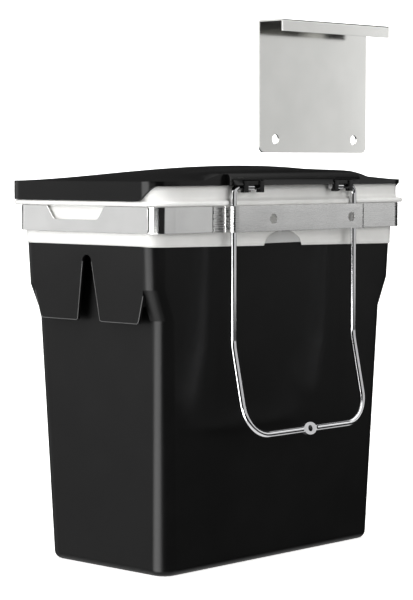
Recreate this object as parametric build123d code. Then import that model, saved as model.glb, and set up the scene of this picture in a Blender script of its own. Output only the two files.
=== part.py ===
from build123d import *
import math
import os

# Door-hung waste bin: a moulded tub with a bag, hung in a steel band frame,
# with a hinged lid, a sprung wire loop and a loose over-door hook plate.
# Millimetres, +Z up, +Y towards the door, origin at the centre of the base.

# ---- tub ----
base_len = 246.4          # outside, along X, at the floor
base_wid = 129.2          # outside, along Y, at the floor
rim_z = 294.4             # top of the rim, the height of the tub
draft_x = 0.0361          # widening per mm of height, short sides
draft_y = 0.0325          # widening per mm of height, long sides


def half_x(z):
    return base_len / 2 + draft_x * z


def half_y(z):
    return base_wid / 2 + draft_y * z


base_corner = 14.0        # corner radius of the base
collar_corner = 12.0      # corner radius from the step up
wall = 2.2
floor_t = 2.6
base_round = 6.0          # radius of the bottom edge
flange_z = rim_z - 14.8   # underside of the rim flange
flange_t = 2.6
hem_z = flange_z - 31.0   # lower edge of the folded-over bag
step_z = hem_z - 54.6     # where the short sides start to step out
step_h = 23.5
step_top = step_z + step_h
collar_low = half_x(step_z) + 9.9    # half length at the top of the step
collar_half = collar_low + 1.3       # half length from the hem up
flange_half_x = collar_half + 4.6
flange_half_y = half_y(flange_z) + 11.3
rim_half_x = collar_half + 1.8       # upright rim above the flange
rim_half_y = half_y(flange_z) + 5.3
rim_corner = 16.0

# ---- handles: two hanging flaps on each short side ----
flap_drop_z = step_z - 2.0           # lower edge
flap_half_top = half_y(step_z) - 11.9
flap_half_low = flap_half_top - 5.5
flap_notch_z = step_z + 19.0
gap_half_top = 5.0
gap_half_low = 12.7
gap_z = hem_z - 6.6
pocket_z = hem_z - 2.6               # roof of the finger pocket
flap_round = 2.0

# ---- bag ----
film = 0.5                # folded film, modelled thick
film_gap = 0.1
tape_gap = 0.9            # room for the draw tape behind the hem
tape_t = 0.3
tape_len = 56.0
tape_h = 12.5
tape_up = 0.4             # tape above the hem's edge
notch_mid = 0.0
notch_half = 22.0
notch_h = 12.5

# ---- steel frame ----
strip = 1.2               # thickness of the band
band_h = 19.6
band_drop = 0.1           # film between the flange and the band's top edge
band_fit = 0.4            # band to bag, short sides
band_half_y = half_y(flange_z) + 7.0 # outside
band_shift = 1.4          # band centre along Y
band_corner = 15.0
band_top = flange_z - film - 2 * band_drop
band_low = band_top - band_h
band_in_x = collar_half + film_gap + film + band_fit
band_out_x = band_in_x + strip
band_back = band_shift + band_half_y
band_front = band_shift - band_half_y
lap_front = band_front + 13.3        # ends of the side strips
lap_back = band_back - 13.1
lap_corner = 1.5
tuck = 14.0               # end strips run on behind the side strips
scoop_mid = -8.5
scoop_half_top = 31.5
scoop_half_low = 24.0
scoop_h = 10.3
scoop_round = 5.0

# ---- wire and mounting screws ----
wire_r = 2.45
wire_gap = 1.8            # wire to the band's outer face
saddle_w = 4.0            # saddle between wire and bracket
saddle_in = 2.0           # saddle ends inside the band's edges
wire_y = band_back + wire_gap + wire_r
screw_x = 33.8            # first mounting hole
screw_pitch = 93.2
screw_xs = (screw_x, screw_x - screw_pitch)
screw_r = 3.8
screw_drop = 10.2         # hole centre below the band's top edge
screw_z = band_top - screw_drop
leg_x = screw_pitch - screw_x + 11.4 # the loop's legs, clear of the holes
pin_z = rim_z - 1.4       # the lid's hinge line
clip_mid = leg_x - 17.8
pin_end = clip_mid - 10.5            # free ends of the two hinge pins
bend_r = 6.0
kink_z = pin_z - 120.0
kink_r = 45.0
bar_z = pin_z - 187.5     # bottom bar
lean = 14.6               # how far the bar stands out past the legs
loop_r = 24.0
eye_half_x = 7.3
eye_half_z = 4.9
eye_t = 3.4
eye_hole_r = 2.5

# ---- mounting bracket ----
bracket_half = leg_x + 7.0
standoff = 12.0           # outer face to the band's outer face
bracket_y = band_back + standoff
bracket_corner = 5.0
bracket_foot = 10.5       # left end, lapped over the back band
foot_round = 2.0

# ---- lid ----
flange_top = flange_z + flange_t
lid_t = 2.2
lid_over = 0.8            # lid skirt past the flange
lid_gap = 0.4
lid_half_x = flange_half_x + lid_over
lid_front = -(flange_half_y + lid_over)
lid_back = band_back + 1.3           # back edge
lid_corner = 17.0         # front corners
lid_back_corner = 20.0
lid_edge_z = rim_z + 3.2
crown = 11.7              # dome above the edge
crown_y = lid_back - 54.4
skirt_z = flange_top + film + 2 * film_gap + lid_gap - 0.2
skirt_end = lid_back - 23.9          # where the side skirts start to rise
skirt_rise = 17.0
lip_z = rim_z
house_half = leg_x + 5.5  # hinge housing
house_rise = 5.3
house_ramp = 30.0         # the dome's rise to the housing, along X
house_z = pin_z + 1.5     # lower edge of the housing
house_wall = 1.8
house_room = 0.8          # housing wall to wire
house_round = 5.0         # plan corners of the housing
house_top = pin_z + wire_r + 7.55
clip_half = 11.4
clip_room = 0.5

# ---- hinge clips ----
pin_fit = 0.1
finger_w = 4.6
finger_pitch = 17.6
finger_out = wire_r + 2.85
finger_low = wire_r + 1.55
tongue_w = 7.0
tongue_in = wire_r + 1.95
clip_face = wire_r + 1.75 # between the fingers, level with the housing
bridge_top = wire_r + 2.35

# ---- over-door hook ----
hook_t = 1.4
hook_gap = 0.2            # to the bracket when it is lowered onto it
hook_rise = 60.5          # how far above the bracket it waits
hook_left = screw_x + 18.1
hook_right = screw_x - screw_pitch - 15.4
hook_foot = 10.2          # hole centre above the lower edge
hook_high = 99.4
hook_reach = 23.0
hook_lip = 9.0
hook_round = 5.0

# ---- room for the bag behind the wire, and reach of cutting tools ----
relief_y = wire_y - wire_r - 0.6 - film - film_gap
relief_half = leg_x + wire_r + 3.0
far = 300.0
sky = 600.0


def corner(z):
    share = min(1.0, z / (step_z + step_h))
    return base_corner + (collar_corner - base_corner) * share


def ring(hx, hy, r, z, y=0.0):
    return Pos(0, y, z) * RectangleRounded(2 * hx, 2 * hy, r)


def slab(hx, hy, r, z0, z1, y=0.0):
    return extrude(ring(hx, hy, r, z0, y), z1 - z0)


def stack(levels, inset=0.0):
    """Straight-sided solid through rounded rectangles (z, hx, hy)."""
    rings = [ring(hx - inset, hy - inset, max(corner(z) - inset, 2.0), z)
             for z, hx, hy in levels]
    solid = loft(rings[:2], ruled=True)
    for a, b in zip(rings[1:], rings[2:]):
        solid += loft([a, b], ruled=True)
    return solid


def block(x0, x1, y0, y1, z0, z1):
    return Pos((x0 + x1) / 2, (y0 + y1) / 2, (z0 + z1) / 2) * Box(
        x1 - x0, y1 - y0, z1 - z0)


def side_profile(points, x0, x1):
    """Extrude a closed (y, z) outline along X from x0 to x1."""
    wire = Polyline(*[(x0, y, z) for y, z in points], close=True)
    return extrude(make_face(wire), amount=x1 - x0, dir=(1, 0, 0))


def both_sides(solid):
    return solid + solid.mirror(Plane.YZ)


# ---- tub ----
def outer_levels(top):
    return [
        (0.0, half_x(0), half_y(0)),
        (step_z, half_x(step_z), half_y(step_z)),
        (step_top, collar_low, half_y(step_top)),
        (hem_z, collar_half, half_y(hem_z)),
        (top, collar_half, half_y(top)),
    ]


def make_tub():
    outer = stack(outer_levels(flange_z + 0.5))
    outer = fillet(outer.edges().group_by(Axis.Z)[0], base_round)
    # hanging flaps, in line with the collar
    roof = pocket_z + wall
    flap = side_profile([
        (-flap_half_low, flap_drop_z),
        (flap_half_low, flap_drop_z),
        (flap_half_top, flap_notch_z),
        (flap_half_top, roof),
        (-flap_half_top, roof),
        (-flap_half_top, flap_notch_z),
    ], half_x(step_z) - 2 * wall, collar_half + 1.0)
    skin = stack([(0.0, collar_low - draft_x * step_top, half_y(0) + 20),
                  (step_top, collar_low, half_y(step_top) + 20),
                  (hem_z, collar_half, half_y(hem_z) + 20)])
    flap = flap & skin
    outer += both_sides(flap)
    # finger pockets behind the flaps, open at the bottom
    pocket_half = flap_half_top - wall
    pocket = block(0, collar_half, -pocket_half, pocket_half,
                   step_z - 40, pocket_z)
    pocket = pocket & (skin_inner(wall))
    core = stack([(0.0, half_x(0), half_y(0) + 30),
                  (pocket_z + 5, half_x(pocket_z + 5),
                   half_y(pocket_z + 5) + 30)])
    pocket = pocket - core
    outer -= both_sides(pocket)
    # the slot between the two flaps
    slot = side_profile([
        (-gap_half_low, flap_drop_z - 5),
        (gap_half_low, flap_drop_z - 5),
        (gap_half_top, gap_z - gap_half_top),
        (-gap_half_top, gap_z - gap_half_top),
    ], half_x(pocket_z) + 0.5, collar_half + 5)
    slot += Pos((half_x(pocket_z) + collar_half) / 2 + 2.75, 0,
                gap_z - gap_half_top) * Rot(0, 90, 0) * Cylinder(
        gap_half_top, collar_half - half_x(pocket_z) + 4.5)
    outer -= both_sides(slot)
    tips = [e for e in outer.edges().filter_by(Axis.X)
            if abs(e.center().Z - flap_drop_z) < 0.2
            and abs(e.center().X) > half_x(flap_drop_z)]
    outer = fillet(tips, flap_round)
    # flange and upright rim
    rim = slab(flange_half_x, flange_half_y, rim_corner, flange_z, flange_top)
    rim += slab(rim_half_x, rim_half_y, rim_corner - 2, flange_top - 0.5, rim_z)
    relief = block(-relief_half, relief_half, relief_y, flange_half_y + 5,
                   flange_z - 1, rim_z)
    outer += rim - relief
    # inside: straight core, stepped corners, rim
    inner = stack([(floor_t, half_x(floor_t) - wall, half_y(floor_t) - wall),
                   (flange_top + 0.1, half_x(flange_top) - wall,
                    half_y(flange_top) - wall)])
    inner = fillet(inner.edges().group_by(Axis.Z)[0], base_round - wall)
    shell = stack(outer_levels(flange_top + 0.1), wall)
    corners = shell - block(-far, far, -flap_half_top,
                            flap_half_top, 0, roof)
    corners = corners & block(-far, far, -far, far, step_z - 10, sky)
    inner += corners
    inner += slab(rim_half_x - wall, rim_half_y - wall, rim_corner - 2 - wall,
                  flange_top, rim_z + 1)
    return outer - inner


def skin_inner(t):
    low = collar_low - draft_x * step_top
    return stack([(0.0, low - t, half_y(0) + 20),
                  (step_top, collar_low - t, half_y(step_top) + 20),
                  (hem_z, collar_half - t, half_y(hem_z) + 20)])


# ---- bag ----
def bag_notch(side):
    arch = Pos(notch_mid, side * half_y(hem_z), hem_z) * Rot(90, 0, 0) \
        * Cylinder(notch_half, 16)
    squash = notch_h / notch_half
    return scale(Pos(0, 0, -hem_z) * arch, (1, 1, squash)).moved(
        Location((0, 0, hem_z)))


def make_bag():
    g, t = film_gap, film
    # inside the tub, down to just above the floor
    lo, hi = floor_t + base_round, flange_top - 0.6
    ins = wall + g
    bag = stack([(lo, half_x(lo) - ins, half_y(lo) - ins),
                 (hi, half_x(hi) - ins, half_y(hi) - ins)])
    bag -= stack([(lo + t, half_x(lo + t) - ins - t, half_y(lo + t) - ins - t),
                  (hi, half_x(hi) - ins - t, half_y(hi) - ins - t)])
    # out over the inner shelf and up inside the rim
    shelf_x, shelf_y = rim_half_x - wall - g, rim_half_y - wall - g
    r = rim_corner - 2 - wall
    shelf_z = flange_top + g
    bag += slab(shelf_x, shelf_y, r, hi - 0.01, shelf_z + t) & stack(
        [(hi - 0.5, half_x(hi) - ins, half_y(hi) - ins),
         (hi + 4, half_x(hi) - ins, half_y(hi) - ins)])
    bag += slab(shelf_x, shelf_y, r, shelf_z, rim_z + g + t)
    bag -= stack([(hi - 1, half_x(hi) - ins - t, half_y(hi) - ins - t),
                  (shelf_z + t + 1, half_x(hi) - ins - t,
                   half_y(hi) - ins - t)])
    bag -= slab(shelf_x - t, shelf_y - t, r - t, shelf_z + t, rim_z + 5)
    # over the top of the rim, down its outside and round the flange
    def around(hx, hy, fx, fy, cut, r0):
        body = slab(hx, hy, r0, flange_top - 1, rim_z + cut)
        lip = slab(fx, fy, r0 + 2, flange_z - cut, flange_top + cut)
        back = relief_y + cut
        lip -= block(-relief_half + cut, relief_half - cut, back,
                     far, 0, sky)
        return body + lip
    over = around(rim_half_x + g + t, rim_half_y + g + t,
                  flange_half_x + g + t, flange_half_y + g + t, g + t,
                  rim_corner - 2)
    over -= around(rim_half_x + g, rim_half_y + g, flange_half_x + g,
                   flange_half_y + g, g, rim_corner - 2)
    over -= slab(shelf_x - t, shelf_y - t, r - t, rim_z - 1, rim_z + 5)
    hem_out = [(z, collar_half + g + t, half_y(z) + tape_gap + t)
               for z in (hem_z, flange_z - g)]
    hem_in = [(z, collar_half + g, half_y(z) + tape_gap)
              for z in (hem_z, flange_z + 1)]
    over -= stack(hem_in)
    bag += over
    hem = stack(hem_out) - stack(hem_in)
    for side in (-1, 1):
        hem -= bag_notch(side)
    return bag + hem


def make_tape(side):
    room = (tape_gap - tape_t) / 2
    z0 = hem_z + tape_up
    z1 = z0 + tape_h
    outer = stack([(z, collar_half, half_y(z) + room + tape_t)
                   for z in (z0, z1)])
    outer -= stack([(z, collar_half + 5, half_y(z) + room) for z in (z0, z1)])
    y = side * half_y(hem_z)
    return outer & block(notch_mid - tape_len / 2, notch_mid + tape_len / 2,
                         y - 4, y + 4, 0, sky)


# ---- frame ----
def band_loop():
    loop = slab(band_out_x, band_half_y, band_corner, band_low, band_top,
                band_shift)
    loop -= slab(band_in_x, band_half_y - strip, band_corner - strip,
                 band_low - 1, band_top + 1, band_shift)
    return loop


def make_front_band():
    """Front strip, turned round both corners."""
    return band_loop() & block(-far, far, -far, lap_front + tuck, 0, sky)


def make_back_band():
    """Left end of the back strip, from the corner to under the bracket."""
    return band_loop() & block(bracket_half - strip, far,
                               lap_back - tuck, far, 0, sky)


def make_side_band(side):
    x = side * (band_out_x + strip / 2)
    band = Pos(x, (lap_front + lap_back) / 2, (band_low + band_top) / 2) * Box(
        strip, lap_back - lap_front, band_h)
    band = fillet(band.edges().filter_by(Axis.X), lap_corner)
    cut = side_profile([
        (scoop_mid - scoop_half_top, band_top + 1),
        (scoop_mid - scoop_half_top, band_top),
        (scoop_mid - scoop_half_low, band_top - scoop_h),
        (scoop_mid + scoop_half_low, band_top - scoop_h),
        (scoop_mid + scoop_half_top, band_top),
        (scoop_mid + scoop_half_top, band_top + 1),
    ], x - 3, x + 3)
    low = [e for e in cut.edges().filter_by(Axis.X)
           if abs(e.center().Z - band_top + scoop_h) < 0.1]
    cut = fillet(low, scoop_round)
    return band - cut


def upright(solid, x, y):
    """The vertical edge of solid at x, y."""
    return [e for e in solid.edges().filter_by(Axis.Z)
            if abs(e.center().X - x) < 0.05 and abs(e.center().Y - y) < 0.05]


def make_bracket():
    """Rest of the back strip: right corner, hat and a foot on the left."""
    h, y0 = bracket_half, band_back - strip
    out = block(-h, h, y0, bracket_y, band_low, band_top)
    out = fillet(upright(out, -h, bracket_y) + upright(out, h, bracket_y),
                 bracket_corner)
    x, y = h - strip, bracket_y - strip
    cavity = block(-x, x, y0 - 1, y, band_low - 1, band_top + 1)
    cavity = fillet(upright(cavity, -x, y) + upright(cavity, x, y),
                    bracket_corner - strip)
    hat = out - cavity - block(0, far, y0 - 1, band_back, 0, sky)
    hat += block(h - strip, h + bracket_foot, band_back, band_back + strip,
                 band_low, band_top)
    hat += band_loop() & block(-far, -h + strip, lap_back - tuck, far,
                               0, sky)
    hollow = upright(hat, -h, band_back) + upright(
        hat, h, band_back + strip)
    hat = fillet(hollow, foot_round)
    heel = upright(hat, -x, y0) + upright(hat, x, band_back)
    hat = fillet(heel, foot_round)
    for at in screw_xs:
        hat -= Pos(at, bracket_y, screw_z) * Rot(90, 0, 0) * Cylinder(
            screw_r, 6)
    return hat


def round_path(points, radii):
    """Wire through points, each inner corner rounded by its radius."""
    pts = [Vector(*p) for p in points]
    edges, last = [], pts[0]
    for i in range(1, len(pts) - 1):
        a = (pts[i - 1] - pts[i]).normalized()
        b = (pts[i + 1] - pts[i]).normalized()
        half = math.acos(max(-1.0, min(1.0, a.dot(b)))) / 2
        run = radii[i - 1] / math.tan(half)
        mid = pts[i] + (a + b).normalized() * (
            radii[i - 1] / math.sin(half) - radii[i - 1])
        p, q = pts[i] + a * run, pts[i] + b * run
        edges += [Edge.make_line(last, p),
                  Edge.make_three_point_arc(p, mid, q)]
        last = q
    edges.append(Edge.make_line(last, pts[-1]))
    return Wire(edges)


def make_wire():
    half = [(pin_end, wire_y, pin_z), (leg_x, wire_y, pin_z),
            (leg_x, wire_y, kink_z), (leg_x, wire_y + lean, bar_z)]
    radii = [bend_r, kink_r, loop_r]
    points = half + [(-x, y, z) for x, y, z in reversed(half)]
    path = round_path(points, radii + radii[::-1])
    start = Plane(origin=points[0], z_dir=(1, 0, 0))
    wire = sweep(start * Circle(wire_r), path=path)
    # the eye lies in the leaning plane of the loop
    seat = Pos(0, wire_y + lean, bar_z) * Rot(
        math.degrees(math.atan2(lean, kink_z - bar_z)), 0, 0)
    eye = Rot(90, 0, 0) * extrude(
        Ellipse(eye_half_x, eye_half_z), eye_t / 2, both=True)
    flat = Box(2 * eye_half_x + 2, 18, 18) - Box(far, eye_t, far)
    hole = Rot(90, 0, 0) * Cylinder(eye_hole_r, 20)
    return (wire - seat * flat) + seat * eye - seat * hole


def make_welds():
    """Saddles that join the wire's legs to the bracket's inner face."""
    pads = []
    for side in (-1, 1):
        x = side * leg_x
        pad = block(x - saddle_w / 2, x + saddle_w / 2, wire_y + 0.4,
                    bracket_y - strip, band_low + saddle_in,
                    band_top - saddle_in)
        pads.append(pad - Pos(x, wire_y, screw_z) * Cylinder(wire_r, 100))
    return Compound(children=pads)


# ---- lid ----
def smooth(t):
    t = max(0.0, min(1.0, t))
    return t * t * (3 - 2 * t)


def lid_height(x, y):
    tx = x / lid_half_x
    span = crown_y - lid_front if y < crown_y else lid_back + 2 - crown_y
    ty = (y - crown_y) / span
    z = lid_edge_z + crown * (1 - tx * tx) * (1 - ty * ty)
    rise = smooth((house_half + house_ramp - abs(x)) / house_ramp) * smooth(
        (y - lid_back + 35.4) / 34.0)
    return z + house_rise * rise


def lid_surface():
    xs = [-lid_half_x - 4 + i * (2 * lid_half_x + 8) / 46 for i in range(47)]
    y0, y1 = lid_front - 4, lid_back + 8
    ys = [y0 + i * (y1 - y0) / 26 for i in range(27)]
    grid = [[Vector(x, y, lid_height(x, y)) for x in xs] for y in ys]
    return Face.make_surface_from_array_of_points(grid)


def lid_plan(z0, z1, inset=0.0):
    mid = (lid_back + lid_front) / 2
    plan = Pos(0, mid, z0) * Rectangle(
        2 * (lid_half_x - inset), lid_back - lid_front - 2 * inset)
    front = [v for v in plan.vertices() if v.Y < mid]
    plan = fillet(front, lid_corner - inset)
    back = [v for v in plan.vertices() if v.Y > lid_back - inset - 0.1]
    return extrude(fillet(back, lid_back_corner - inset), z1 - z0)


def make_lid():
    top = extrude(lid_surface(), amount=lid_t, dir=(0, 0, -1))
    top = top & lid_plan(skirt_z, sky)
    skirt = lid_plan(skirt_z, sky) - lid_plan(skirt_z - 1, sky + 1, lid_t)
    skirt &= extrude(lid_surface(), amount=2 * lid_t + lid_edge_z - skirt_z
                     + crown + house_rise, dir=(0, 0, -1))
    # the skirt sweeps up to a thin lip before the back corners
    n = 12
    rise = [(skirt_end + skirt_rise * i / n,
             skirt_z + (lip_z - skirt_z) * smooth(i / n))
            for i in range(n + 1)]
    cut = side_profile([(skirt_end, skirt_z - 5)] + rise + [
        (lid_back + 20, lip_z), (lid_back + 20, skirt_z - 5)], -far, far)
    lid = top + (skirt - cut)
    # hinge housing along the back
    ax, az = wire_y, pin_z
    room = wire_r + house_room
    out = room + house_wall
    top = house_top
    outline = [(ax - 9, az + 3.8), (ax - 9, top - 1.0), (ax - 0.6, top),
               (ax + 0.8, top - 1.3), (ax + 2.4, top - 3.0),
               (ax + out - 1.5, top - 4.7), (ax + out, house_z),
               (ax - 3, house_z), (ax - 3, az + 3.8)]
    house = side_profile(outline, -house_half, house_half)
    house &= slab(house_half, ax + out, house_round, house_z, sky)
    w = house_wall
    hollow = side_profile([
        (ax - 14, house_z - 2), (ax - 14, top - 2.6),
        (ax - 0.6 - w / 2, top - w - 0.4),
        (ax + out - 1.5 - w, top - 5.3),
        (ax + room, house_z - 2)], -house_half + w, house_half - w)
    hollow &= slab(house_half - w, ax + room, house_round - w, 0, sky)
    lid += house
    lid -= hollow
    # windows for the clips in the back wall of the housing
    for side in (-1, 1):
        x = side * clip_mid
        lid -= block(x - clip_half - clip_room, x + clip_half + clip_room,
                     ax, ax + 10, house_z - 2, az + bridge_top + clip_room)
    return lid


def make_clip(side):
    x = side * clip_mid
    ax, az = wire_y, pin_z
    inner = wire_r + pin_fit
    clip = block(x - clip_half, x + clip_half, ax - tongue_in, ax + inner,
                 az + inner + 0.3, az + bridge_top)
    for s in (-1, 1):
        f = x + s * finger_pitch / 2
        clip += block(f - finger_w / 2, f + finger_w / 2, ax + 1.0,
                      ax + finger_out, az - finger_low, az + bridge_top)
    clip += block(x - clip_half, x + clip_half, ax + 1.0, ax + clip_face,
                  house_z + 0.1, az + bridge_top)
    clip += block(x - tongue_w / 2, x + tongue_w / 2, ax - tongue_in,
                  ax - 1.5, az - finger_low + 0.4, az + bridge_top)
    return clip - Pos(x, ax, az) * Rot(0, 90, 0) * Cylinder(inner, 60)


# ---- over-door hook ----
def make_hook():
    y0 = bracket_y + hook_gap
    y1 = y0 + hook_t
    z0 = screw_z - hook_foot + hook_rise
    z1 = z0 + hook_high
    mid, wide = (hook_left + hook_right) / 2, hook_left - hook_right
    plate = Pos(mid, (y0 + y1) / 2, (z0 + z1) / 2) * Box(
        wide, hook_t, hook_high)
    low = [e for e in plate.edges().filter_by(Axis.Y) if e.center().Z < z0 + 1]
    plate = fillet(low, hook_round)
    reach = y0 + hook_reach + hook_t
    hook = plate + block(hook_right, hook_left, y0, reach, z1 - hook_t, z1)
    hook += block(hook_right, hook_left, reach - hook_t, reach,
                  z1 - hook_lip, z1)
    bends = [e for e in hook.edges().filter_by(Axis.X)
             if e.center().Z > z1 - 0.1]
    hook = fillet(bends, hook_t + 0.2)
    for x in screw_xs:
        hook -= Pos(x, y0, z0 + hook_foot) * Rot(90, 0, 0) * Cylinder(
            screw_r, 8)
    return hook


pieces = {
    "tub": make_tub(),
    "liner_bag": make_bag(),
    "draw_tape_front": make_tape(-1),
    "draw_tape_back": make_tape(1),
    "front_band": make_front_band(),
    "back_band": make_back_band(),
    "left_side_band": make_side_band(1),
    "right_side_band": make_side_band(-1),
    "mount_bracket": make_bracket(),
    "hinge_wire": make_wire(),
    "frame_welds": make_welds(),
    "lid": make_lid(),
    "hinge_clip_left": make_clip(1),
    "hinge_clip_right": make_clip(-1),
    "door_hook": make_hook(),
}

os.makedirs("parts", exist_ok=True)
for name, shape in pieces.items():
    export_step(shape, os.path.join("parts", name + ".step"))
    print(name, round(shape.volume), "mm3")
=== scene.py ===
import bpy
import bmesh
import math
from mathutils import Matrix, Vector, noise


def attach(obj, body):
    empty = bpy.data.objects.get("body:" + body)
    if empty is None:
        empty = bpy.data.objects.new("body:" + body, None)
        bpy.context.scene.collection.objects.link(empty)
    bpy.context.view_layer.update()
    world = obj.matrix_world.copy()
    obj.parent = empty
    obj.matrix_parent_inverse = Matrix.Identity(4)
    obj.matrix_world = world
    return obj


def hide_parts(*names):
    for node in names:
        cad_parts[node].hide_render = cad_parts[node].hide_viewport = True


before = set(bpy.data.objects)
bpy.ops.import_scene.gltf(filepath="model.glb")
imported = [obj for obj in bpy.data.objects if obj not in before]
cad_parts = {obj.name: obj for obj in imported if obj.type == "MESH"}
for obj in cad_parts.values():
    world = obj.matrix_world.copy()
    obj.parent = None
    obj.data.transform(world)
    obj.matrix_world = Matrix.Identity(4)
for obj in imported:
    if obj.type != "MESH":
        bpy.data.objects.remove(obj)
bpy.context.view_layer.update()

mm = 0.001
print("frame loaded:", len(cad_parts), "pieces")


def colour(code, alpha=1.0):
    parts = [int(code[i:i + 2], 16) / 255 for i in (1, 3, 5)]
    return [p / 12.92 if p <= 0.04045 else ((p + 0.055) / 1.055) ** 2.4
            for p in parts] + [alpha]


def startMaterial(name):
    mat = bpy.data.materials.new(name)
    mat.use_nodes = True
    mat.node_tree.nodes.clear()
    return mat


def addNode(tree, kind, values=None, links=None, **settings):
    # one node, its fixed values by socket name or number, and what feeds it
    node = tree.nodes.new(kind)
    for key, value in settings.items():
        setattr(node, key, value)
    for key, value in (values or {}).items():
        node.inputs[key].default_value = value
    for key, source in (links or {}).items():
        tree.links.new(source, node.inputs[key])
    return node


def ramp(tree, source, stops):
    node = addNode(tree, "ShaderNodeValToRGB", links={"Fac": source})
    marks = node.color_ramp.elements
    while len(marks) < len(stops):
        marks.new(0.5)
    for mark, (place, tone) in zip(marks, stops):
        mark.position = place
        mark.color = (tone, tone, tone, 1) if isinstance(tone, float) else tone
    return node


def closeMaterial(tree, shader, bump=None):
    if bump is not None:
        tree.links.new(bump, shader.inputs["Normal"])
    out = addNode(tree, "ShaderNodeOutputMaterial")
    tree.links.new(shader.outputs[0], out.inputs["Surface"])


def grain(tree, size, stretch=(1, 1, 1), detail=3.0, rough=0.55):
    # noise whose grain is size millimetres across, in the piece's own place
    place = addNode(tree, "ShaderNodeTexCoord")
    turn = addNode(tree, "ShaderNodeMapping", {"Scale": stretch},
                   {"Vector": place.outputs["Object"]})
    return addNode(tree, "ShaderNodeTexNoise",
                   {"Scale": 1 / (size * mm), "Detail": detail,
                    "Roughness": rough}, {"Vector": turn.outputs[0]})


tubFinish = {"tone": "#0c0c0c", "pale": "#101010", "rough": (0.30, 0.36),
             "grain": 0.7, "bump": 0.06, "shine": 0.23}
lidFinish = {"tone": "#090909", "pale": "#0c0c0c", "rough": (0.15, 0.19),
             "grain": 1.6, "bump": 0.03, "shine": 0.24}
# flap edges toned paler than the tub: a painted highlight for the light the moulded edges
# catch
edgeHighlightFinish = {"tone": "#4c4c4c", "pale": "#585858", "rough": (0.30, 0.36),
              "grain": 0.7, "bump": 0.02, "shine": 0.4}


def mouldedPlastic(name, finish):
    # polypropylene from a spark-eroded mould: soft sheen, very fine grain
    mat = startMaterial(name)
    tree = mat.node_tree
    fine = grain(tree, finish["grain"])
    broad = grain(tree, 45.0, detail=2.0)
    tone = ramp(tree, broad.outputs["Fac"],
                [(0.35, colour(finish["tone"])), (0.7, colour(finish["pale"]))])
    low, high = finish["rough"]
    rough = addNode(tree, "ShaderNodeMapRange",
                    {"From Min": 0.3, "From Max": 0.7, "To Min": low,
                     "To Max": high}, {"Value": fine.outputs["Fac"]})
    bump = addNode(tree, "ShaderNodeBump",
                   {"Strength": finish["bump"], "Distance": 0.0002},
                   {"Height": fine.outputs["Fac"]})
    shader = addNode(tree, "ShaderNodeBsdfPrincipled",
                     {"IOR": 1.49, "Specular IOR Level": finish["shine"]},
                     {"Base Color": tone.outputs[0],
                      "Roughness": rough.outputs[0]})
    closeMaterial(tree, shader, bump.outputs[0])
    return mat


steelFinish = {"tone": "#e0e0df", "pale": "#e8e8e7", "rough": (0.09, 0.13),
               "line": 0.35, "bump": 0.015}
# the pressed hat, dulled where the die drew it
hatFinish = {"tone": "#dededd", "pale": "#e6e6e5", "rough": (0.24, 0.29),
             "line": 0.35, "bump": 0.015}
hookFinish = {"tone": "#e2e2df", "pale": "#e8e8e5", "rough": (0.12, 0.16),
              "line": 0.35, "bump": 0.015}


def rolledSteel(name, finish):
    # cold-rolled stainless strip, buffed along its length: faint long lines
    mat = startMaterial(name)
    tree = mat.node_tree
    lines = grain(tree, finish["line"], (0.02, 0.02, 1.0), 2.0)
    cloud = grain(tree, 30.0, detail=2.0)
    tone = ramp(tree, cloud.outputs["Fac"],
                [(0.3, colour(finish["tone"])), (0.7, colour(finish["pale"]))])
    low, high = finish["rough"]
    rough = addNode(tree, "ShaderNodeMapRange",
                    {"From Min": 0.3, "From Max": 0.7, "To Min": low,
                     "To Max": high}, {"Value": lines.outputs["Fac"]})
    bump = addNode(tree, "ShaderNodeBump",
                   {"Strength": finish["bump"], "Distance": 0.0001},
                   {"Height": lines.outputs["Fac"]})
    shader = addNode(tree, "ShaderNodeBsdfPrincipled", {"Metallic": 1.0},
                     {"Base Color": tone.outputs[0],
                      "Roughness": rough.outputs[0]})
    closeMaterial(tree, shader, bump.outputs[0])
    return mat


def platedWire(name):
    # bright nickel-chrome plate over drawn wire: mirror with faint ripples
    mat = startMaterial(name)
    tree = mat.node_tree
    ripple = grain(tree, 6.0, detail=2.0)
    tone = ramp(tree, ripple.outputs["Fac"],
                [(0.3, colour("#dcdcde")), (0.7, colour("#e8e8ea"))])
    rough = addNode(tree, "ShaderNodeMapRange",
                    {"From Min": 0.3, "From Max": 0.7, "To Min": 0.04,
                     "To Max": 0.09}, {"Value": ripple.outputs["Fac"]})
    shader = addNode(tree, "ShaderNodeBsdfPrincipled", {"Metallic": 1.0},
                     {"Base Color": tone.outputs[0],
                      "Roughness": rough.outputs[0]})
    closeMaterial(tree, shader)
    return mat


def blownFilm(name, tone, pale):
    # blown polyethylene: milky, soft shine, fine vertical creases
    mat = startMaterial(name)
    tree = mat.node_tree
    crease = grain(tree, 9.0, (1.0, 1.0, 0.25), 5.0, 0.6)
    haze = grain(tree, 22.0, detail=2.0)
    mix = ramp(tree, haze.outputs["Fac"],
               [(0.3, colour(tone)), (0.7, colour(pale))])
    bump = addNode(tree, "ShaderNodeBump",
                   {"Strength": 0.25, "Distance": 0.0006},
                   {"Height": crease.outputs["Fac"]})
    shader = addNode(tree, "ShaderNodeBsdfPrincipled",
                     {"IOR": 1.5, "Roughness": 0.38,
                      "Subsurface Weight": 0.2, "Subsurface Scale": 0.001,
                      "Subsurface Radius": (1.0, 0.95, 0.9)},
                     {"Base Color": mix.outputs[0]})
    closeMaterial(tree, shader, bump.outputs[0])
    return mat


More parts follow.
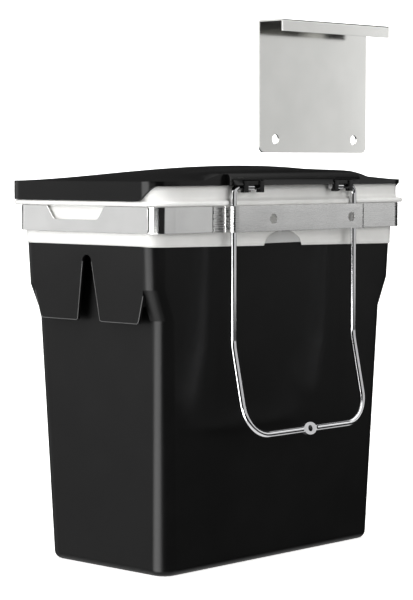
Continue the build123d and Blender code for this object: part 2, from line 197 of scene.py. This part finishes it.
tubPlastic = mouldedPlastic("moulded polypropylene, satin", tubFinish)
# the pale edge tone is a painted highlight, used on the flap rims
edgeHighlightPlastic = mouldedPlastic("moulded polypropylene, painted edge highlight", edgeHighlightFinish)
lidPlastic = mouldedPlastic("moulded polypropylene, semi-gloss", lidFinish)
bandSteel = rolledSteel("stainless strip, buffed", steelFinish)
hatSteel = rolledSteel("stainless strip, pressed", hatFinish)
hookSteel = rolledSteel("stainless sheet, satin", hookFinish)
wireChrome = platedWire("chrome-plated wire, drawn")
bagFilm = blownFilm("polyethylene film, blown", "#e9e8e4", "#f0efec")
tapeFilm = blownFilm("polyethylene tape, extruded", "#bdbdbb", "#c9c9c7")
print("materials ready:", len(bpy.data.materials))


hardPieces = {
    # piece: (frame piece, body, slot, material, edge round in mm, crease)
    "tubShell": ("tub", "tub", "tub_black", tubPlastic, 0.45, 11),
    "lidShell": ("lid", "lid", "lid_black", lidPlastic, 1.0, 24),
    "frontBand": ("front_band", "frame", "band_steel", bandSteel, 0.2, 32),
    "backBand": ("back_band", "frame", "band_steel", bandSteel, 0.2, 32),
    "leftSideBand": ("left_side_band", "frame", "band_steel", bandSteel, 0.2, 32),
    "rightSideBand": ("right_side_band", "frame", "band_steel", bandSteel, 0.2, 32),
    "hatBracket": ("mount_bracket", "frame", "band_steel", hatSteel, 0.2, 32),
    "wireLoop": ("hinge_wire", "frame", "wire_chrome", wireChrome, 0.0, 32),
    "seamWelds": ("frame_welds", "frame", "band_steel", bandSteel, 0.3, 32),
    "leftClip": ("hinge_clip_left", "left_hinge_clip", "lid_black", lidPlastic, 0.35, 32),
    "rightClip": ("hinge_clip_right", "right_hinge_clip", "lid_black", lidPlastic, 0.35, 32),
    "doorHook": ("door_hook", "door_hook", "hook_steel", hookSteel, 0.25, 32),
}


def roundedCopy(name, node, edge, crease):
    # the frame piece's mesh, merged, with its long sharp edges broken
    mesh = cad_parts[node].data.copy()
    mesh.name = name
    sharp = math.radians(crease)
    bm = bmesh.new()
    bm.from_mesh(mesh)
    bmesh.ops.remove_doubles(bm, verts=bm.verts, dist=0.004 * mm)
    bm.normal_update()
    if edge:
        folds = [line for line in bm.edges
                 if line.is_manifold and line.calc_face_angle(0) > math.radians(50)
                 and line.calc_length() > 1.2 * edge * mm]
        bmesh.ops.bevel(bm, geom=folds, offset=edge * mm, segments=2,
                        profile=0.5, affect="EDGES", material=-1,
                        clamp_overlap=True)
        bm.normal_update()
    for face in bm.faces:
        face.smooth = True
    for line in bm.edges:
        line.smooth = line.is_manifold and line.calc_face_angle(0) < sharp
    bm.to_mesh(mesh)
    bm.free()
    piece = bpy.data.objects.new(name, mesh)
    bpy.context.scene.collection.objects.link(piece)
    level = piece.modifiers.new("normals", "WEIGHTED_NORMAL")
    level.weight = 100
    level.keep_sharp = True
    return piece


for name, (node, body, slot, mat, edge, crease) in hardPieces.items():
    piece = roundedCopy(name, node, edge, crease)
    piece.data.materials.clear()
    piece.data.materials.append(mat)
    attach(piece, body)
    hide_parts(node)
print("hard pieces done")


bag = {
    # half sizes in mm; rings run from the bottom, up, over the rim and down
    "rimTop": 294.75, "rimX": 143.55, "rimY": 79.35, "rimRound": 14.4,
    "mouthX": 140.55, "mouthY": 76.35, "lipX": 146.35, "lipY": 85.35,
    "hemX": 141.85, "hemBase": 64.6 + 1.15, "draft": 0.0325,
    "hem": 249.7, "sag": 2.6, "tilt": 0.0155, "notch": 22.0, "notchHigh": 12.0,
    "reliefX": 74.9, "reliefY": 83.0, "film": 0.16,
    "longSteps": 140, "shortSteps": 72, "cornerSteps": 9,
}


def outline(step, halfX, halfY, corner):
    # where one point of a ring lies on its rounded rectangle
    longN, shortN, turnN = bag["longSteps"], bag["shortSteps"], bag["cornerSteps"]
    legs = [(shortN, 0), (turnN, 1), (longN, 0), (turnN, 1)] * 2
    side = 0
    for index, (count, turning) in enumerate(legs):
        if step < count:
            side = index
            break
        step -= count
    share = step / legs[side][0]
    straightX, straightY = halfX - corner, halfY - corner
    quarter = side // 2
    if legs[side][1]:
        centre = [(straightX, straightY), (-straightX, straightY),
                  (-straightX, -straightY), (straightX, -straightY)][quarter]
        angle = math.radians(90) * (quarter + share)
        return (centre[0] + corner * math.cos(angle),
                centre[1] + corner * math.sin(angle))
    along = 2 * share - 1
    return [(halfX, along * straightY), (-along * straightX, halfY),
            (-halfX, -along * straightY), (along * straightX, -halfY)][quarter]


def ease(share):
    share = max(0.0, min(1.0, share))
    return share * share * (3 - 2 * share)


def bagRings():
    # (z, half x, half y, corner, wrinkle in mm, how far down the hem it is)
    wall = 2.5
    rings = [(9.4, 20, 8, 5, 0.6, 0), (9.2, 70, 30, 10, 0.9, 0),
             (9.6, 108, 52, 12, 0.9, 0)]
    for z in (10.5, 13, 22, 40, 62, 86, 110, 136, 162, 188, 212, 236, 256, 272, 281):
        pull = 1.4 if 20 < z < 270 else 0.3
        rings.append((z, 123.2 + 0.0361 * z - wall - pull,
                      64.6 + 0.0325 * z - wall - pull, 12, pull, 0))
    rings += [(282.7, 138.6, 75.2, 12, 0.15, 0),
              (283.1, bag["mouthX"] - 0.5, bag["mouthY"] - 0.5, 12, 0.1, 0),
              (284.5, bag["mouthX"], bag["mouthY"], 12.2, 0.15, 0),
              (289.5, bag["mouthX"], bag["mouthY"], 12.2, 0.2, 0),
              (294.0, bag["mouthX"] + 0.1, bag["mouthY"] + 0.1, 12.2, 0.1, 0),
              (bag["rimTop"], bag["rimX"] - 1.5, bag["rimY"] - 1.5, 13.2, 0, 0),
              (294.0, bag["rimX"], bag["rimY"], bag["rimRound"], 0.05, 0),
              (290.5, bag["rimX"] + 0.1, bag["rimY"] + 0.1, 14.4, 0.16, 0),
              (286.0, bag["rimX"] + 0.1, bag["rimY"] + 0.1, 14.4, 0.16, 0),
              (283.2, bag["rimX"] + 0.3, bag["rimY"] + 0.4, 14.4, 0.1, 0),
              (282.6, bag["lipX"] - 0.6, bag["lipY"] - 0.6, 16.2, 0.05, 0),
              (281.8, bag["lipX"], bag["lipY"], 16.4, 0.05, 0),
              (280.2, bag["lipX"], bag["lipY"], 16.4, 0.05, 0),
              (279.3, bag["lipX"] - 0.7, bag["lipY"] - 0.8, 16.0, 0.05, 0),
              (279.15, bag["hemX"] + 0.8, 76.6, 13.0, 0.05, 0),
              (278.2, bag["hemX"] + 0.05, 75.4, 12.4, 0.1, 0)]
    for down in (0.12, 0.25, 0.4, 0.55, 0.7, 0.82, 0.92, 1.0):
        rings.append((278.2, bag["hemX"], 0, 12.2, 0.28, down))
    return rings


def placeRing(points, ring):
    z, halfX, halfY, corner, wrinkle, down = ring
    for step, point in enumerate(points):
        x, y = outline(step, halfX, halfY or 75.0, corner)
        slack = bag["sag"] - bag["tilt"] * x
        low = bag["hem"] - slack * ease((y - 55) / 14)
        arch = 1 - (x / bag["notch"]) ** 2
        if arch > 0 and abs(y) > 60:
            low += bag["notchHigh"] * math.sqrt(arch)
        high = z - down * (z - low) if down else z
        if not halfY:
            x, y = outline(step, halfX, bag["hemBase"] + bag["draft"] * high, corner)
        if y > bag["reliefY"]:
            free = ease((abs(x) - bag["reliefX"]) / 1.2)
            y = bag["reliefY"] + (y - bag["reliefY"]) * free
        spot = Vector((x / 16, y / 16, high / 60 if z > 280 or down else high / 34))
        crease = noise.noise(spot) + 0.5 * noise.noise(spot * 2.7)
        seam = 0.25 * math.exp(-((y - 1.5) / 1.3) ** 2) if down else 0
        out = Vector((x, y, 0)).normalized() * (crease * wrinkle + seam)
        point.co = (Vector((x, y, high)) + out) * mm


def buildBag():
    bm = bmesh.new()
    count = 2 * (bag["longSteps"] + bag["shortSteps"]) + 4 * bag["cornerSteps"]
    rings = bagRings()
    made = bmesh.ops.create_circle(bm, cap_ends=True, segments=count, radius=1)
    loop = sorted(made["verts"], key=lambda v: math.atan2(v.co.y, v.co.x))
    placeRing(loop, rings[0])
    for ring in rings[1:]:
        lines = [bm.edges.get((a, b)) for a, b in zip(loop, loop[1:] + loop[:1])]
        grown = bmesh.ops.extrude_edge_only(bm, edges=lines)
        fresh = [g for g in grown["geom"] if isinstance(g, bmesh.types.BMVert)]
        partner = {}
        for vert in fresh:
            for line in vert.link_edges:
                other = line.other_vert(vert)
                if other not in fresh:
                    partner[other] = vert
        loop = [partner[v] for v in loop]
        placeRing(loop, ring)
    bmesh.ops.recalc_face_normals(bm, faces=bm.faces)
    for face in bm.faces:
        face.smooth = True
    area = sum(face.calc_area() for face in bm.faces)
    mesh = bpy.data.meshes.new("linerFilm")
    bm.to_mesh(mesh)
    bm.free()
    piece = bpy.data.objects.new("linerFilm", mesh)
    bpy.context.scene.collection.objects.link(piece)
    thick = piece.modifiers.new("film", "SOLIDIFY")
    thick.thickness = bag["film"] * mm
    thick.offset = 0
    piece.data.materials.append(bagFilm)
    print("bag area", round(area, 4))
    return piece


linerFilm = buildBag()
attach(linerFilm, "tub")
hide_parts("liner_bag")
print("bag done")


flap = {
    # half widths and heights in mm of one flap's free outline
    "outer": 59.0, "outerLow": 53.5, "notch": 213.0, "low": 192.0,
    "gapTop": 5.0, "gapLow": 12.7, "gapHigh": 237.0,
    "stepTop": 217.5, "stepHalf": 140.1, "draft": 0.0361, "tube": 0.34,
}


def flapRim(name, side, hand):
    # a thin rolled edge down the gap, along the bottom and up the notch
    gap = flap["gapLow"] - 0.6
    route = [(flap["gapTop"], flap["gapHigh"]), (gap - 0.35, flap["low"] + 4.0),
             (gap, flap["low"] + 1.0), (gap + 1.6, flap["low"]),
             (flap["outerLow"] - 1.8, flap["low"]),
             (flap["outerLow"] - 0.2, flap["low"] + 1.2),
             (flap["outerLow"] + 0.9, flap["low"] + 4.5),
             (flap["outer"], flap["notch"])]
    line = bpy.data.curves.new(name, "CURVE")
    line.dimensions = "3D"
    line.bevel_depth = flap["tube"] * mm
    line.bevel_resolution = 3
    line.use_fill_caps = True
    path = line.splines.new("POLY")
    path.points.add(len(route) - 1)
    for point, (y, z) in zip(path.points, route):
        skin = flap["stepHalf"] - flap["draft"] * (flap["stepTop"] - z)
        point.co = (side * (skin - 0.12) * mm, hand * y * mm, z * mm, 1)
    piece = bpy.data.objects.new(name, line)
    bpy.context.scene.collection.objects.link(piece)
    # the rims take the pale edge material, a painted highlight along the flap edges
    line.materials.append(edgeHighlightPlastic)
    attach(piece, "tub")
    return piece


for side, sideName in ((1, "left"), (-1, "right")):
    for hand, handName in ((1, "Back"), (-1, "Front")):
        flapRim(sideName + handName + "FlapRim", side, hand)
print("flap rims done")

tape = {"half": 28, "low": 249.2, "high": 12.2, "base": 64.6 + 0.62, "film": 0.12}


def buildTape(name, side):
    bm = bmesh.new()
    bmesh.ops.create_grid(bm, x_segments=56, y_segments=10, size=1)
    for vert in bm.verts:
        u, v = vert.co.x, vert.co.y
        x = u * tape["half"]
        z = tape["low"] + (v + 1) / 2 * tape["high"]
        crease = 0.12 * noise.noise(Vector((x / 5, z / 9, side)))
        fold = 0.22 * math.exp(-((x - 1.5 - 0.12 * (z - 250)) / 1.3) ** 2)
        y = tape["base"] + bag["draft"] * z + crease + fold - 0.1
        vert.co = Vector((x, side * y, z)) * mm
    if side > 0:
        bmesh.ops.reverse_faces(bm, faces=bm.faces)
    for face in bm.faces:
        face.smooth = True
    mesh = bpy.data.meshes.new(name)
    bm.to_mesh(mesh)
    bm.free()
    piece = bpy.data.objects.new(name, mesh)
    bpy.context.scene.collection.objects.link(piece)
    thick = piece.modifiers.new("film", "SOLIDIFY")
    thick.thickness = tape["film"] * mm
    thick.offset = 0
    piece.data.materials.append(tapeFilm)
    return piece


for name, node, side in (("frontTape", "draw_tape_front", -1),
                         ("backTape", "draw_tape_back", 1)):
    piece = buildTape(name, side)
    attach(piece, "tub")
    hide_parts(node)
print("tapes done")


stage = {"floor": 12.0, "dome": 9.0}


def stageMaterial(name, tone, glow):
    mat = startMaterial(name)
    tree = mat.node_tree
    shader = addNode(tree, "ShaderNodeBsdfPrincipled",
                     {"Base Color": colour(tone), "Roughness": 0.7,
                      "Emission Color": colour(tone),
                      "Emission Strength": glow})
    closeMaterial(tree, shader)
    return mat


def stagePiece(name, bm, mat):
    mesh = bpy.data.meshes.new(name)
    bm.to_mesh(mesh)
    bm.free()
    mesh.materials.append(mat)
    piece = bpy.data.objects.new(name, mesh)
    bpy.context.scene.collection.objects.link(piece)
    return piece


bm = bmesh.new()
bmesh.ops.create_circle(bm, cap_ends=True, segments=96, radius=stage["floor"])
floor = stagePiece("floor", bm, stageMaterial("painted floor, matt", "#f7f7f6", 0.75))
bm = bmesh.new()
bmesh.ops.create_uvsphere(bm, u_segments=48, v_segments=24, radius=stage["dome"])
dome = stagePiece("backdrop", bm, stageMaterial("paper backdrop, lit", "#ffffff", 1.0))
# the floor and backdrop show to the camera and leave the light to the panels
for way in ("diffuse", "glossy", "transmission", "volume_scatter", "shadow"):
    setattr(dome, "visible_" + way, False)
floor.visible_diffuse = False
floor.visible_glossy = False


panels = {
    # compass bearing in degrees: brightness of the upright panels
    "level": [(-180, 0.03), (-97, 0.03), (-88, 1.0), (-52, 1.0),
              (-44, 0.78), (-39, 0.72), (-33, 5.5), (-5, 5.5), (1, 0.02),
              (62, 0.02), (67, 0.62), (134, 0.56), (141, 0.70),
              (142, 1.2), (151, 1.2), (152.5, 0.03)],
    # the same below the table's edge
    "below": [(-180, 0.02), (-97, 0.02), (-75, 0.55), (-26, 0.18), (-20, 8.5),
              (20, 8.5), (30, 0.0), (176, 0.0)],
}


def studioWorld():
    # soft panels and dark gaps by compass bearing, white overhead
    world = bpy.data.worlds.new("studio")
    bpy.context.scene.world = world
    world.use_nodes = True
    tree = world.node_tree
    tree.nodes.clear()
    place = addNode(tree, "ShaderNodeTexCoord")
    axes = addNode(tree, "ShaderNodeSeparateXYZ",
                   links={0: place.outputs["Generated"]})
    bearing = addNode(tree, "ShaderNodeMath",
                      links={0: axes.outputs["Y"], 1: axes.outputs["X"]},
                      operation="ARCTAN2")
    turn = addNode(tree, "ShaderNodeMapRange",
                   {"From Min": -math.pi, "From Max": math.pi},
                   {"Value": bearing.outputs[0]})
    rings = {name: ramp(tree, turn.outputs[0],
                        [((deg + 180) / 360, (tone, tone, tone, 1))
                         for deg, tone in stops])
             for name, stops in panels.items()}
    steps = {}
    for name, low, high in (("table", -0.75, -0.45), ("level", -0.09, -0.05),
                            ("above", 0.58, 0.85)):
        steps[name] = addNode(tree, "ShaderNodeMapRange",
                              {"From Min": low, "From Max": high},
                              {"Value": axes.outputs["Z"]},
                              interpolation_type="SMOOTHSTEP")
    sides = addNode(tree, "ShaderNodeMix", None,
                    {0: steps["level"].outputs[0],
                     6: rings["below"].outputs[0],
                     7: rings["level"].outputs[0]}, data_type="RGBA")
    light = addNode(tree, "ShaderNodeMix", {7: (1.8, 1.8, 1.8, 1.0)},
                    {0: steps["above"].outputs[0], 6: sides.outputs[2]},
                    data_type="RGBA")
    table = addNode(tree, "ShaderNodeMix", {6: (0.9, 0.9, 0.9, 1.0)},
                    {0: steps["table"].outputs[0], 7: light.outputs[2]},
                    data_type="RGBA")
    back = addNode(tree, "ShaderNodeBackground", {"Strength": 1.0},
                   {"Color": table.outputs[2]})
    out = addNode(tree, "ShaderNodeOutputWorld")
    tree.links.new(back.outputs[0], out.inputs["Surface"])


studioWorld()

lamps = {
    # name: (place in m, aimed at, width, height, watts)
    "overhead": ((0.3, 0.2, 1.9), (0, 0, 0.2), 1.6, 1.6, 5),
    "doorFill": ((0.5, 1.7, 0.5), (0, 0, 0.2), 1.2, 1.0, 15),
}
for name, (place, aim, wide, tall, watts) in lamps.items():
    data = bpy.data.lights.new(name, "AREA")
    data.shape = "RECTANGLE"
    data.size, data.size_y, data.energy = wide, tall, watts
    lamp = bpy.data.objects.new(name, data)
    lamp.location = place
    lamp.rotation_euler = (Vector(aim) - Vector(place)).to_track_quat(
        "-Z", "Y").to_euler()
    lamp.visible_glossy = False
    bpy.context.scene.collection.objects.link(lamp)

camera = {"place": (1.2338, 1.1547, 0.3120), "aim": (0.0041, -0.0044, 0.2009),
          "lens": 126}
data = bpy.data.cameras.new("camera")
data.sensor_fit = "VERTICAL"
data.sensor_height = 36
data.lens = camera["lens"]
data.clip_end = 60
view = bpy.data.objects.new("camera", data)
view.location = camera["place"]
look = Vector(camera["aim"]) - Vector(camera["place"])
turn = look.to_track_quat("-Z", "Y").to_matrix().to_4x4()
view.rotation_euler = turn.to_euler()
bpy.context.scene.collection.objects.link(view)
bpy.context.scene.camera = view
bpy.context.scene.view_settings.view_transform = "Standard"
print("studio ready")
